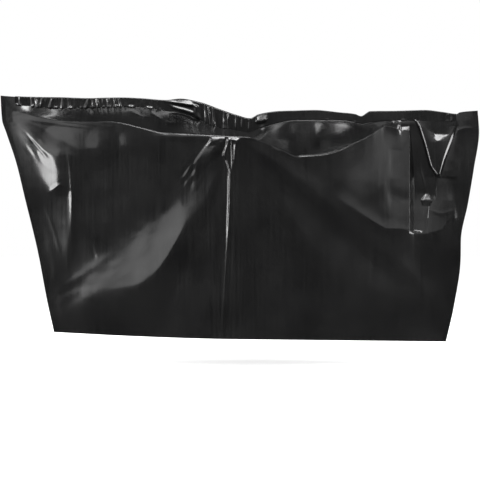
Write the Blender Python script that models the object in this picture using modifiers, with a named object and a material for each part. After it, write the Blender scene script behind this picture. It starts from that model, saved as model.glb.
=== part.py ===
"""Bicycle cover of thin black film, hanging over a bicycle that is left out.

Two film panels are welded face to face down both ends and stay open along the hem. A gathered
band closes the top. Metres, +Z up, +X towards the bicycle's rear wheel, -Y to the cover's front.

The origin is where the cover is held: under its top, over the handlebar. Every place on the
cover is given on its elevation, the plane y = 0. Where the film stands out from that plane it
is drawn in towards the elevation's centre, because film that bulges takes up its own width.
"""

from collections import namedtuple

import bpy
import numpy as np

NAME = "bicycle_cover"

# ---- driving dimensions, in metres ----
FILM = 0.0015            # thickness of each panel and of the band
GAP = 0.0003             # clearance between two pieces that lie face to face
WELD = 0.012             # width of the flat end welds
FRONT_RISE = (0.18, 0.31)    # steepest rise of the film at the front weld, and further in
REAR_RISE = (0.18, 0.30)     # the same at the rear weld
RISE_CHANGE = 0.03       # width over which the one gives way to the other
RISE_BLEND = 0.003       # depth over which that rise meets the rest of the film
END_FADE = 0.05          # width beside a weld over which the folds die out
RIDGE_BLEND = 0.012      # depth over which the film's two sides meet at the handlebar's end
SIGHT = 5.0              # a point that stands out by d is drawn in by d / SIGHT
CENTRE_Z = -0.447        # level towards which the film is drawn in
BAND_DEPTH = 0.006       # a panel stands out this far under the band's lower edge
BAND_CLEAR = 0.0022      # room between the band and the panels it goes over
BAND_LEFT = -0.968       # the gathered band runs between these two places
BAND_RIGHT = 0.930
BAND_ARCH = 0.006        # the band closes this far over the top line
BAND_LIFT = 0.004        # its lower edges clear the film that slopes out under them
TUCK = 0.004             # the panels' top edges lie this far inside the band
TUCK_RAMP = 0.020
TAPER_REACH = 0.90       # the ends' taper narrows the film over this much of its length
FLUTE_PITCH = 0.062      # one gather of the band
FLUTE_HEIGHT = 0.0045    # how far a gather stands out
SETTLING = 0.30          # height below the eave over which the film comes to hang flat
BAND_FADE = 0.06         # height below the band over which the folds begin
BAND_ROWS, ROOF_ROWS = 2, 3      # rows across the band and down to the eave
HEM_SPREAD = 1.25        # the hanging rows lie closer near the eave than near the hem
SLANT_STEPS = 12         # rounds that settle a slanted column's places
GATHER_DRIFT = 0.012     # the gathers shift by this much, in waves of 9 radians to the metre
GATHER_WAVES = 9.0
GATHER_CREST = 0.25      # a gather is highest this far above the middle of its half wave
BACK_DEPTH = 0.92        # the back panel stands out this much of the front panel's depth

FRONT_PITCH, FRONT_ROWS = 0.052, 20      # widest column, and the number of rows
BACK_PITCH, BACK_ROWS = 0.120, 15
BAND_PITCH = 0.030

# Across the band: its side, and the share of its height, from one lower edge over to the other.
BAND_PROFILE = (
    (-1, 0.0), (-1, 0.30), (-1, 0.65), (-1, 0.95), (0, 1.0), (1, 0.95), (1, 0.65), (1, 0.30),
    (1, 0.0),
)

COVER_BLACK = (0.010, 0.010, 0.011, 1.0)
BAND_BLACK = (0.013, 0.013, 0.014, 1.0)

Place = namedtuple("Place", "x z")
Edge = namedtuple("Edge", "z x")
Section = namedtuple("Section", "x top band eave depth")
Apex = namedtuple("Apex", "x z depth")
Fall = namedtuple("Fall", "x z")
FlankRow = namedtuple("FlankRow", "place first second height fall")
Fold = namedtuple("Fold", "x0 z0 x1 z1 height0 height1 width0 width1")

# Sections across the top, from the front end to the rear: the top contour, the band's lower
# line, and the eave, which is the line that the film slopes out to and hangs from. The eave's
# peak is the handlebar's end.
SECTIONS = (
    Section(-1.032, 0.176, 0.137, 0.098, 0.003),
    Section(-0.960, 0.171, 0.133, 0.085, 0.018),
    Section(-0.860, 0.168, 0.125, 0.070, 0.047),
    Section(-0.774, 0.167, 0.120, 0.060, 0.073),
    Section(-0.645, 0.163, 0.122, 0.057, 0.112),
    Section(-0.585, 0.165, 0.125, 0.060, 0.131),
    Section(-0.510, 0.166, 0.127, 0.053, 0.153),
    Section(-0.430, 0.163, 0.124, 0.033, 0.176),
    Section(-0.318, 0.155, 0.110, 0.009, 0.209),
    Section(-0.258, 0.161, 0.100, 0.008, 0.227),
    Section(-0.172, 0.146, 0.068, 0.006, 0.253),
    Section(-0.090, 0.117, 0.036, 0.002, 0.278),
    Section(-0.017, 0.092, 0.026, -0.002, 0.298),
    Section(0.043, 0.077, 0.016, -0.006, 0.283),
    Section(0.080, 0.094, 0.032, -0.018, 0.272),
    Section(0.172, 0.108, 0.058, -0.054, 0.244),
    Section(0.245, 0.110, 0.070, -0.088, 0.222),
    Section(0.322, 0.112, 0.070, -0.086, 0.201),
    Section(0.430, 0.102, 0.070, -0.064, 0.160),
    Section(0.495, 0.095, 0.060, -0.030, 0.122),
    Section(0.520, 0.086, 0.052, -0.019, 0.109),
    Section(0.560, 0.107, 0.058, 0.003, 0.088),
    Section(0.602, 0.108, 0.064, 0.032, 0.061),
    Section(0.632, 0.108, 0.067, 0.044, 0.042),
    Section(0.720, 0.110, 0.066, 0.018, 0.024),
    Section(0.795, 0.112, 0.064, 0.018, 0.019),
    Section(0.870, 0.104, 0.062, 0.020, 0.016),
    Section(0.930, 0.096, 0.064, 0.026, 0.012),
    Section(0.945, 0.104, 0.065, 0.028, 0.011),
    Section(1.028, 0.112, 0.070, 0.040, 0.003),
)

# The open hem, from the front end to the rear.
HEM_LINE = (
    Place(-0.800, -0.843), Place(-0.473, -0.860), Place(-0.082, -0.873), Place(0.258, -0.877),
    Place(0.886, -0.884),
)

# The two welded ends, from the top down.
FRONT_END = (
    Edge(0.176, -1.030), Edge(0.069, -1.023), Edge(0.017, -1.006), Edge(-0.112, -0.963),
    Edge(-0.267, -0.925), Edge(-0.499, -0.869), Edge(-0.705, -0.830), Edge(-0.843, -0.800),
)
REAR_END = (
    Edge(0.112, 1.022), Edge(0.017, 1.028), Edge(-0.138, 1.006), Edge(-0.292, 0.980),
    Edge(-0.447, 0.950), Edge(-0.525, 0.949), Edge(-0.731, 0.920), Edge(-0.884, 0.886),
)

# The hanging film is stretched from the handlebar's end, and falls away from it on both sides
# by so much for each metre in x and in z.
APEX = Apex(-0.017, -0.004, 0.300)
FRONT_FALL = Fall(0.3058, 0.072)
REAR_FALL = Fall(-0.287, 0.0465)

# Broad flanks of film: each rises from its first bound to its second and falls away past it.
# The level ones give bounds in z at places in x; the blade gives bounds in x at places in z.
LONG_BAND = (
    FlankRow(-0.843, -0.576, -0.761, 0.000, 0.172),
    FlankRow(-0.710, -0.537, -0.718, 0.012, 0.215),
    FlankRow(-0.581, -0.494, -0.662, 0.030, 0.267),
    FlankRow(-0.473, -0.434, -0.649, 0.045, 0.284),
    FlankRow(-0.387, -0.370, -0.611, 0.054, 0.284),
    FlankRow(-0.318, -0.327, -0.529, 0.050, 0.258),
    FlankRow(-0.258, -0.284, -0.426, 0.040, 0.224),
    FlankRow(-0.206, -0.236, -0.348, 0.027, 0.189),
    FlankRow(-0.150, -0.181, -0.275, 0.015, 0.146),
    FlankRow(-0.069, -0.090, -0.112, 0.000, 0.060),
)
HAZY_SWELL = (
    FlankRow(-0.903, -0.258, -0.447, 0.000, 0.129),
    FlankRow(-0.765, -0.241, -0.464, 0.009, 0.129),
    FlankRow(-0.705, -0.241, -0.473, 0.000, 0.086),
)
UPPER_BAND = (
    FlankRow(0.017, -0.009, -0.021, 0.000, 0.026),
    FlankRow(0.215, -0.086, -0.155, 0.010, 0.086),
    FlankRow(0.430, -0.232, -0.327, 0.014, 0.112),
    FlankRow(0.688, -0.460, -0.542, 0.011, 0.095),
    FlankRow(0.834, -0.645, -0.679, 0.000, 0.052),
)
LOWER_BAND = (
    FlankRow(0.112, -0.189, -0.206, 0.000, 0.043),
    FlankRow(0.258, -0.301, -0.404, 0.009, 0.155),
    FlankRow(0.430, -0.430, -0.598, 0.017, 0.189),
    FlankRow(0.602, -0.533, -0.658, 0.016, 0.155),
    FlankRow(0.817, -0.632, -0.710, 0.009, 0.129),
    FlankRow(0.929, -0.697, -0.727, 0.000, 0.103),
)
POCKET_SWELL = (
    FlankRow(0.353, -0.060, -0.228, 0.000, 0.129),
    FlankRow(0.473, -0.125, -0.303, 0.015, 0.138),
    FlankRow(0.542, -0.155, -0.348, 0.027, 0.150),
    FlankRow(0.593, -0.181, -0.381, 0.031, 0.150),
    FlankRow(0.628, -0.172, -0.400, 0.033, 0.150),
    FlankRow(0.684, -0.103, -0.400, 0.025, 0.150),
    FlankRow(0.727, -0.060, -0.400, 0.013, 0.150),
    FlankRow(0.744, -0.060, -0.400, 0.000, 0.150),
)
POCKET_HOLLOW = (
    FlankRow(0.654, 0.026, -0.181, 0.000, 0.215),
    FlankRow(0.697, 0.047, -0.198, -0.015, 0.241),
    FlankRow(0.727, 0.047, -0.206, -0.018, 0.258),
    FlankRow(0.757, 0.060, -0.146, -0.029, 0.275),
    FlankRow(0.795, 0.047, -0.189, -0.038, 0.258),
    FlankRow(0.843, 0.026, -0.181, -0.024, 0.224),
    FlankRow(0.890, 0.004, -0.181, -0.015, 0.189),
    FlankRow(0.946, -0.017, -0.181, 0.000, 0.172),
)
POCKET_END = (
    FlankRow(0.808, -0.301, -0.387, 0.000, 0.086),
    FlankRow(0.860, -0.189, -0.404, 0.006, 0.129),
    FlankRow(0.903, -0.189, -0.370, 0.013, 0.129),
    FlankRow(0.937, -0.189, -0.331, 0.000, 0.129),
)
BLADE = (
    FlankRow(0.077, -0.959, -0.946, 0.000, 0.060),
    FlankRow(-0.017, -0.935, -0.881, 0.010, 0.120),
    FlankRow(-0.125, -0.881, -0.791, 0.018, 0.155),
    FlankRow(-0.194, -0.847, -0.783, 0.013, 0.129),
    FlankRow(-0.258, -0.808, -0.791, 0.000, 0.086),
)
FRONT_FLANKS = (LONG_BAND, HAZY_SWELL, UPPER_BAND, LOWER_BAND, POCKET_SWELL, POCKET_HOLLOW,
                POCKET_END)

# The front panel's smaller folds. A fold is a ridge, or a trough where its height is negative.
FRONT_FOLDS = (
    Fold(-0.735, -0.043, -0.727, -0.540, 0.005, 0.003, 0.030, 0.034),
    Fold(-0.240, 0.070, 0.040, -0.004, 0.006, 0.004, 0.030, 0.030),
)
# The back panel hangs from the handlebar's other end, which sits further forward.
BACK_SHIFT = -0.060
SHIFT_TAKE_UP = 0.20     # the back's peak is moved over by this far below the band
BACK_FOLDS = (
    Fold(-0.090, -0.060, -0.060, -0.870, 0.012, 0.014, 0.050, 0.070),
    Fold(-0.080, -0.060, -0.620, -0.700, 0.004, 0.016, 0.060, 0.090),
    Fold(-0.060, -0.040, 0.720, -0.600, 0.004, 0.018, 0.060, 0.100),
    Fold(0.700, 0.040, 0.780, -0.300, 0.016, 0.010, 0.060, 0.070),
    Fold(-0.900, 0.020, -0.780, -0.260, 0.012, 0.014, 0.060, 0.070),
)


def column(rows, name):
    """One named column of a table, as an array."""
    return np.array([getattr(row, name) for row in rows])


def section(name, x):
    """One value of the sections across the top, at the places x."""
    return np.interp(x, column(SECTIONS, "x"), column(SECTIONS, name))


def end(rows, z):
    """Where a welded end lies at the height z."""
    return np.interp(-z, -column(rows, "z"), column(rows, "x"))


def smooth(value):
    """Clamp to 0..1 and ease in and out."""
    value = np.clip(value, 0.0, 1.0)
    return value * value * (3.0 - 2.0 * value)


def soft_lower(a, b, blend):
    """The lower of a and b, blended where they meet."""
    return (a + b - np.hypot(a - b, blend)) / 2.0


def hung_depth(x, z):
    """Depth of the film stretched from the apex: the lower of its two sides."""
    away, up = x - APEX.x, z - APEX.z
    front = APEX.depth + FRONT_FALL.x * away + FRONT_FALL.z * up
    rear = APEX.depth + REAR_FALL.x * away + REAR_FALL.z * up
    return np.maximum(soft_lower(front, rear, RIDGE_BLEND), 0.0)


def flank_depth(rows, along, over):
    """Height of a flank: eased up from the first bound to the second, and down past it."""
    place = column(rows, "place")
    order = np.argsort(place)
    first, second, height, fall = (np.interp(along, place[order], column(rows, name)[order])
                                   for name in ("first", "second", "height", "fall"))
    up = np.clip((over - first) / (second - first), 0.0, 1.0)
    past = np.abs(over - second) * (up >= 1.0)
    inside = (along > place.min()) & (along < place.max())
    return height * up * smooth(1.0 - past / fall) * inside


def fold_depth(folds, x, z):
    """Sum of the folds: each is a soft tent across its own straight run, faded at both tips."""
    total = np.zeros_like(x)
    for fold in folds:
        run = np.hypot(fold.x1 - fold.x0, fold.z1 - fold.z0)
        ux, uz = (fold.x1 - fold.x0) / run, (fold.z1 - fold.z0) / run
        along = ((x - fold.x0) * ux + (z - fold.z0) * uz) / run
        across = np.abs((z - fold.z0) * ux - (x - fold.x0) * uz)
        part = np.clip(along, 0.0, 1.0)
        height = fold.height0 + (fold.height1 - fold.height0) * part
        width = fold.width0 + (fold.width1 - fold.width0) * part
        past = np.maximum(np.maximum(-along, along - 1.0), 0.0) * run
        total += height * smooth(1.0 - np.hypot(across, past) / width)
    return total


def base_depth(x, z):
    """Depth of the film without its folds: under the band, on the slope, and hanging."""
    top, band, eave, peak = (section(name, x) for name in ("top", "band", "eave", "depth"))
    under_band = BAND_DEPTH * np.clip((top - z) / (top - band), 0.0, 1.0)
    slope = BAND_DEPTH + (peak - BAND_DEPTH) * np.clip((band - z) / (band - eave), 0.0, 1.0)
    unsettled = 1.0 - smooth((eave - z) / SETTLING)
    hanging = hung_depth(x, z) + (peak - hung_depth(x, eave)) * unsettled
    return np.where(z > band, under_band, np.where(z > eave, slope, hanging))


def rise(inward, slopes):
    """The highest that film can stand at a distance in from a weld."""
    gentle, steep = slopes
    return steep * inward - (steep - gentle) * RISE_CHANGE * (1.0 - np.exp(-inward / RISE_CHANGE))


def panel_depth(folds, flanks, uprights, x, z):
    """How far a panel stands out of the elevation plane at x and z."""
    relief = fold_depth(folds, x, z)
    for rows in flanks:
        relief = relief + flank_depth(rows, x, z)
    for rows in uprights:
        relief = relief + flank_depth(rows, z, x)
    from_front = np.maximum(x - end(FRONT_END, z) - WELD, 0.0)
    from_rear = np.maximum(end(REAR_END, z) - x - WELD, 0.0)
    highest = np.minimum(rise(from_front, FRONT_RISE), rise(from_rear, REAR_RISE))
    held = soft_lower(base_depth(x, z), highest, RISE_BLEND)
    free = smooth((section("band", x) - z) / BAND_FADE)
    free = free * smooth(np.minimum(from_front, from_rear) / END_FADE)
    return 0.5 * (GAP + FILM) + np.maximum(held + relief * free, 0.0)


def drawn_in(x, z, depth):
    """Elevation place and depth to true x and z."""
    scale = 1.0 - depth / SIGHT
    return x * scale, CENTRE_Z + (z - CENTRE_Z) * scale


def columns_along(low, high, pitch):
    """Column places from low to high: one at each section of the top, the rest between them."""
    bends = column(SECTIONS, "x")
    bends = [low] + [float(x) for x in bends if low + 0.004 < x < high - 0.004] + [high]
    places = [low]
    for start, stop in zip(bends, bends[1:]):
        steps = int(np.ceil((stop - start) / pitch))
        places += [start + (stop - start) * step / steps for step in range(1, steps + 1)]
    return np.array(places)


def panel_top(x):
    """The panels' top edge: tucked into the band, and up to the top line at both corners."""
    inside = np.minimum(x - BAND_LEFT, BAND_RIGHT - x)
    return section("top", x) - TUCK * smooth(1.0 + inside / TUCK_RAMP)


def narrowed(x, z):
    """Move a column place in, near the ends, by as much as the ends taper at the height z."""
    low, high = FRONT_END[0].x, REAR_END[0].x
    near_front = np.clip(1.0 - (x - low) / TAPER_REACH, 0.0, 1.0) ** 2
    near_rear = np.clip(1.0 - (high - x) / TAPER_REACH, 0.0, 1.0) ** 2
    return x + (end(FRONT_END, z) - low) * near_front + (end(REAR_END, z) - high) * near_rear


def elevation_grid(places, rows):
    """Elevation places of a panel: columns between the welds, rows from the top to the hem."""
    hang_rows = rows - BAND_ROWS - ROOF_ROWS
    down = np.concatenate((
        np.linspace(0.0, 1.0, BAND_ROWS, endpoint=False),
        np.linspace(1.0, 2.0, ROOF_ROWS, endpoint=False),
        2.0 + np.linspace(0.0, 1.0, hang_rows + 1) ** HEM_SPREAD,
    ))
    straight, level = np.meshgrid(places, down, indexing="ij")
    x = straight
    for _ in range(SLANT_STEPS):
        top, band, eave = panel_top(x), section("band", x), section("eave", x)
        hem = np.interp(x, column(HEM_LINE, "x"), column(HEM_LINE, "z"))
        z = np.where(level < 1.0, top + (band - top) * level,
                     np.where(level < 2.0, band + (eave - band) * (level - 1.0),
                              eave + (hem - eave) * (level - 2.0)))
        x = narrowed(straight, z)
    return x, z


def grid_object(name, points, material):
    """A grid primitive whose vertices are moved to the points, given thickness by Solidify."""
    columns, rows = points.shape[0] - 1, points.shape[1] - 1
    bpy.ops.mesh.primitive_grid_add(x_subdivisions=columns, y_subdivisions=rows, size=2.0)
    piece = bpy.context.object
    piece.name = piece.data.name = name
    mesh = piece.data
    flat = np.empty(len(mesh.vertices) * 3)
    mesh.vertices.foreach_get("co", flat)
    flat = flat.reshape(-1, 3)
    i = np.rint((flat[:, 0] + 1.0) * 0.5 * columns).astype(int)
    j = np.rint((1.0 - flat[:, 1]) * 0.5 * rows).astype(int)
    mesh.vertices.foreach_set("co", points[i, j].ravel())
    mesh.update()
    wall = piece.modifiers.new("film", "SOLIDIFY")
    wall.thickness = FILM
    wall.offset = 0.0
    wall.use_even_offset = False
    mesh.materials.append(material)
    for collection in piece.users_collection:
        collection.objects.unlink(piece)
    bpy.data.collections[NAME].objects.link(piece)
    return piece


def film_material(name, colour, roughness):
    """Glossy black film."""
    material = bpy.data.materials.new(name)
    material.use_nodes = True
    shader = material.node_tree.nodes["Principled BSDF"]
    shader.inputs["Base Color"].default_value = colour
    shader.inputs["Roughness"].default_value = roughness
    shader.inputs["Metallic"].default_value = 0.0
    return material


def make_panel(name, side, pitch, rows, relief, shift, scale, material):
    """A film panel. side is -1 for the front and +1 for the back; relief is what stands on it."""
    x, z = elevation_grid(columns_along(FRONT_END[0].x, REAR_END[0].x, pitch), rows)
    shifted = x - shift * smooth((section("band", x) - z) / SHIFT_TAKE_UP) * smooth(1.0 - np.abs(x))
    depth = panel_depth(*relief, shifted, z)
    lying = 0.5 * (GAP + FILM)
    depth = lying + (depth - lying) * scale
    true_x, true_z = drawn_in(x, z, depth)
    points = np.stack((true_x, side * depth, true_z), axis=-1)
    return grid_object(name, points, material)


def make_band(material):
    """The gathered band: an upturned U over the panels' top edges, fluted by its gathers."""
    x = columns_along(BAND_LEFT, BAND_RIGHT, BAND_PITCH)
    top, low = section("top", x), section("band", x) + BAND_LIFT
    drift = GATHER_DRIFT * np.sin(GATHER_WAVES * x)
    flute = 0.5 - 0.5 * np.cos(2.0 * np.pi * (x + drift) / FLUTE_PITCH)
    points = np.empty((len(x), len(BAND_PROFILE), 3))
    for j, (side, share) in enumerate(BAND_PROFILE):
        z = low + (top - low) * share
        panel = panel_depth((), (), (), x, z)
        swell = FLUTE_HEIGHT * flute * np.sin(np.pi * min(share + GATHER_CREST, 1.0))
        depth = panel + FILM + BAND_CLEAR + swell
        depth = depth if side else np.zeros_like(x)
        z = z + (BAND_ARCH if side == 0 else 0.0)
        true_x, true_z = drawn_in(x, z, depth)
        points[:, j] = np.stack((true_x, side * depth, true_z), axis=-1)
    return grid_object("top_band", points[:, ::-1], material)


def main():
    """Clear the file and build the cover."""
    for thing in list(bpy.data.objects):
        bpy.data.objects.remove(thing, do_unlink=True)
    collection = bpy.data.collections.new(NAME)
    bpy.context.scene.collection.children.link(collection)
    film = film_material("black_film", COVER_BLACK, 0.20)
    band = film_material("band_film", BAND_BLACK, 0.18)
    front = (FRONT_FOLDS, FRONT_FLANKS, (BLADE,))
    back = (BACK_FOLDS, (), ())
    make_panel("front_panel", -1, FRONT_PITCH, FRONT_ROWS, front, 0.0, 1.0, film)
    make_panel("back_panel", 1, BACK_PITCH, BACK_ROWS, back, BACK_SHIFT, BACK_DEPTH, film)
    make_band(band)


if __name__ == "__main__":
    main()
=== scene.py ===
"""Bicycle cover of thin glossy black film, hanging over a bicycle that is left out.

The cover is drawn on its elevation, the plane y = 0, and every fold stands out from that plane.
The front stands out towards -Y and the back towards +Y. Metres, +Z up.
"""

import logging
import math
from dataclasses import dataclass
from enum import Enum

import bpy
import numpy as np
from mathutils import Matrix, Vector


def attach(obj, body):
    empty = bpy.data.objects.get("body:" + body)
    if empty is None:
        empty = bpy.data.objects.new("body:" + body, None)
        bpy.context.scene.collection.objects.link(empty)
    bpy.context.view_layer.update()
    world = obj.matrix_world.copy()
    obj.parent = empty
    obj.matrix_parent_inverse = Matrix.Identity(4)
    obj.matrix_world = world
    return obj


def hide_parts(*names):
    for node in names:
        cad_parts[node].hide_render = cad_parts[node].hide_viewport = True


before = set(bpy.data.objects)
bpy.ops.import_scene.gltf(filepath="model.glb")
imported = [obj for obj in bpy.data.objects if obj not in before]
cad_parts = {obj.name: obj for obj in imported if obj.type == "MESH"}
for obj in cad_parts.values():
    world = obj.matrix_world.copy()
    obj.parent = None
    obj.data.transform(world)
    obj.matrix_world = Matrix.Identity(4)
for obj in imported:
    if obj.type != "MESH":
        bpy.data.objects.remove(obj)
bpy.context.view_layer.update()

log = logging.getLogger("bicycle_cover")

# ---- driving dimensions, in metres ----
SQUARE = 0.0043          # one square of the elevation drawing that places the folds
ORIGIN_SQUARE = (240.0, 136.0)   # the frame's origin, in squares from the drawing's top left
SIGHT = 5.0              # a point that stands out by d is drawn in by d / SIGHT
CENTRE_Z = -0.447        # level towards which the film is drawn in, and the camera's height
GROUND_Z = -0.972        # the bicycle's wheels stand here
LYING = 0.0009           # half the space between the two panels where they lie face to face
WELD = 0.012             # width of the flat end welds
# Steepest rise of the film at an end weld and further in, and the width of the change.
FRONT_RISE = (0.18, 0.31, 0.05)
REAR_RISE = (0.18, 0.30, 0.03)
END_FADE = 0.05          # width beside an end weld over which folds die out
END_BLEND = 0.003        # depth over which that rise meets the folds
BAND_DEPTH = 0.006       # how far the film stands out at the band's lower line
SETTLING = 0.30          # height below the eave over which the film comes to hang flat
FOLD_START = 0.004       # folds begin this far above the band's lower line
FOLD_RAMP = 0.035        # height over which they reach their full depth
RIPPLES = ((0.16, 0.020), (0.05, 0.010))   # pitch and slope of the film's gentle unevenness
TOP_SINK = 0.002         # the panels end this far below the top contour, inside the band
SETTLING_ROUNDS = 8      # times that a panel's places and heights are worked out
TINY = 1e-6              # keeps a width from being zero
MM = 0.001               # one millimetre
WHITE = (1.0, 1.0, 1.0, 1.0)     # of the backdrop and the floor's glow

# Sections across the top: x, top contour, band's lower line, eave, and the eave's depth.
SECTIONS = np.array((
    (-1.032, 0.176, 0.137, 0.098, 0.003), (-0.960, 0.171, 0.133, 0.085, 0.018),
    (-0.860, 0.168, 0.125, 0.070, 0.047), (-0.774, 0.167, 0.120, 0.060, 0.073),
    (-0.645, 0.163, 0.122, 0.057, 0.112), (-0.585, 0.165, 0.125, 0.060, 0.131),
    (-0.510, 0.166, 0.127, 0.053, 0.153), (-0.430, 0.163, 0.124, 0.033, 0.176),
    (-0.318, 0.155, 0.110, 0.009, 0.209), (-0.258, 0.161, 0.100, 0.008, 0.227),
    (-0.172, 0.146, 0.068, 0.006, 0.253), (-0.090, 0.117, 0.036, 0.002, 0.278),
    (-0.017, 0.092, 0.026, -0.002, 0.298), (0.043, 0.077, 0.016, -0.006, 0.283),
    (0.080, 0.094, 0.032, -0.018, 0.272), (0.172, 0.108, 0.058, -0.054, 0.244),
    (0.245, 0.110, 0.070, -0.088, 0.222), (0.322, 0.112, 0.070, -0.086, 0.201),
    (0.430, 0.102, 0.070, -0.064, 0.160), (0.495, 0.095, 0.060, -0.030, 0.122),
    (0.520, 0.086, 0.052, -0.019, 0.109), (0.560, 0.107, 0.058, 0.003, 0.088),
    (0.602, 0.108, 0.064, 0.032, 0.061), (0.632, 0.108, 0.067, 0.044, 0.042),
    (0.720, 0.110, 0.066, 0.018, 0.024), (0.795, 0.112, 0.064, 0.018, 0.019),
    (0.870, 0.104, 0.062, 0.020, 0.016), (0.930, 0.096, 0.064, 0.026, 0.012),
    (0.945, 0.104, 0.065, 0.028, 0.011), (1.028, 0.112, 0.070, 0.040, 0.003),
))
HEM = np.array(((-0.800, -0.843), (-0.473, -0.860), (-0.082, -0.873), (0.258, -0.877),
                (0.886, -0.884)))
FRONT_END = np.array(((0.176, -1.030), (0.069, -1.023), (0.017, -1.006), (-0.112, -0.963),
                      (-0.267, -0.925), (-0.499, -0.869), (-0.705, -0.830), (-0.843, -0.800)))
REAR_END = np.array(((0.112, 1.022), (0.017, 1.028), (-0.138, 1.006), (-0.292, 0.980),
                     (-0.447, 0.950), (-0.525, 0.949), (-0.731, 0.920), (-0.884, 0.886)))
APEX = (-0.017, -0.004, 0.300)
# How much the hanging film falls away, by the metre in x and in z, on both sides of the apex.
FRONT_FALL = (0.3058, 0.072)
REAR_FALL = (-0.287, 0.0465)
RIDGE_BLEND = 0.012      # depth over which the two sides meet
FRONT_TAPER, REAR_TAPER = 0.9, 0.29      # an end's taper narrows the film over this length
# Share of a panel's columns, and the place it reaches: closer where the folds are fine.
COLUMN_PLACES = np.array(((0.0, -1.030), (0.309, -0.300), (0.425, -0.080), (0.530, 0.010),
                          (0.655, 0.560), (0.7221, 0.7274), (0.7357, 0.7294), (0.7562, 0.7472),
                          (0.7699, 0.7492), (0.882, 0.870), (0.955, 0.932), (1.0, 1.022)))
# The same for its rows, from the eave line down to the hem.
ROW_PLACES = np.array(((0.0, 0.0), (0.80, 0.54), (1.0, 1.0)))


def smooth(value: np.ndarray) -> np.ndarray:
    """Clamp to 0..1 and ease in and out: 3v^2 - 2v^3."""
    value = np.clip(value, 0.0, 1.0)
    return value * value * (3.0 - 2.0 * value)


def eased(x: np.ndarray, places: np.ndarray, values: np.ndarray) -> np.ndarray:
    """Monotone cubic through (places, values), which never swings past its points."""
    step = np.diff(places)
    slope = np.diff(values) / step
    tangent = np.zeros_like(values)
    left, right = slope[:-1], slope[1:]
    same = left * right > 0.0
    weight_a, weight_b = 2.0 * step[1:] + step[:-1], step[1:] + 2.0 * step[:-1]
    with np.errstate(divide="ignore", invalid="ignore"):
        mean = (weight_a + weight_b) / (weight_a / left + weight_b / right)
    tangent[1:-1] = np.where(same, mean, 0.0)
    tangent[0], tangent[-1] = slope[0], slope[-1]
    x = np.clip(x, places[0], places[-1])
    k = np.clip(np.searchsorted(places, x) - 1, 0, len(step) - 1)
    h = step[k]
    t = (x - places[k]) / h
    return (values[k] * (1 + 2 * t) * (1 - t) ** 2 + h * tangent[k] * t * (1 - t) ** 2
            + values[k + 1] * t * t * (3 - 2 * t) + h * tangent[k + 1] * t * t * (t - 1))


def squares(x: np.ndarray, z: np.ndarray) -> tuple:
    """Places in squares of the elevation drawing, across and down, of x and z in metres."""
    return x / SQUARE + ORIGIN_SQUARE[0], ORIGIN_SQUARE[1] - z / SQUARE


def metres(across: np.ndarray, down: np.ndarray) -> tuple:
    """x and z in metres of places in squares of the elevation drawing."""
    return (across - ORIGIN_SQUARE[0]) * SQUARE, (ORIGIN_SQUARE[1] - down) * SQUARE


def section(column: int, x: np.ndarray) -> np.ndarray:
    """One column of SECTIONS at the places x."""
    return eased(x, SECTIONS[:, 0], SECTIONS[:, column])


def end(rows: np.ndarray, z: np.ndarray) -> np.ndarray:
    """Where a welded end lies at the height z."""
    return eased(-z, -rows[:, 0], rows[:, 1])


def hung_depth(x: np.ndarray, z: np.ndarray) -> np.ndarray:
    """Depth of the film stretched from the handlebar's end: the lower of two planes, blended.

    Each plane is the apex's depth plus its fall times the way from the apex; the lower of
    a and b is (a + b - hypot(a - b, blend)) / 2.
    """
    away, up = x - APEX[0], z - APEX[1]
    front = APEX[2] + FRONT_FALL[0] * away + FRONT_FALL[1] * up
    rear = APEX[2] + REAR_FALL[0] * away + REAR_FALL[1] * up
    return np.maximum((front + rear - np.hypot(front - rear, RIDGE_BLEND)) / 2.0, 0.0)


HOLLOW = 2.2             # power of a crease's hollow flanks
TENT_EASE = 0.25         # how much of a tent's height is eased


class Profile(Enum):
    """How a fold rises across its width: in words, and its crest's radius in millimetres."""

    CREASE = ("sharp crest and hollow flanks", 2.2)
    TENT = ("sharp crest and straight flanks", 4.0)
    SOFT = ("rounded crest and eased flanks", 0.0)

    def shape(self, u: np.ndarray) -> np.ndarray:
        """Share of the height at u, from 0 on the crest to 1 at the foot."""
        if self is Profile.CREASE:
            return (1.0 - u) ** HOLLOW
        if self is Profile.TENT:
            return TENT_EASE * smooth(1.0 - u) + (1.0 - TENT_EASE) * (1.0 - u)
        return smooth(1.0 - u)


# A route that runs against this direction, in x and z, has its near side on its right.
FACING = (0.44, 0.9)
FAR_OFF = 1e9            # farther than any place lies from a route
SPAN_STEPS = 5           # straight runs in each curved span of a route


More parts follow.
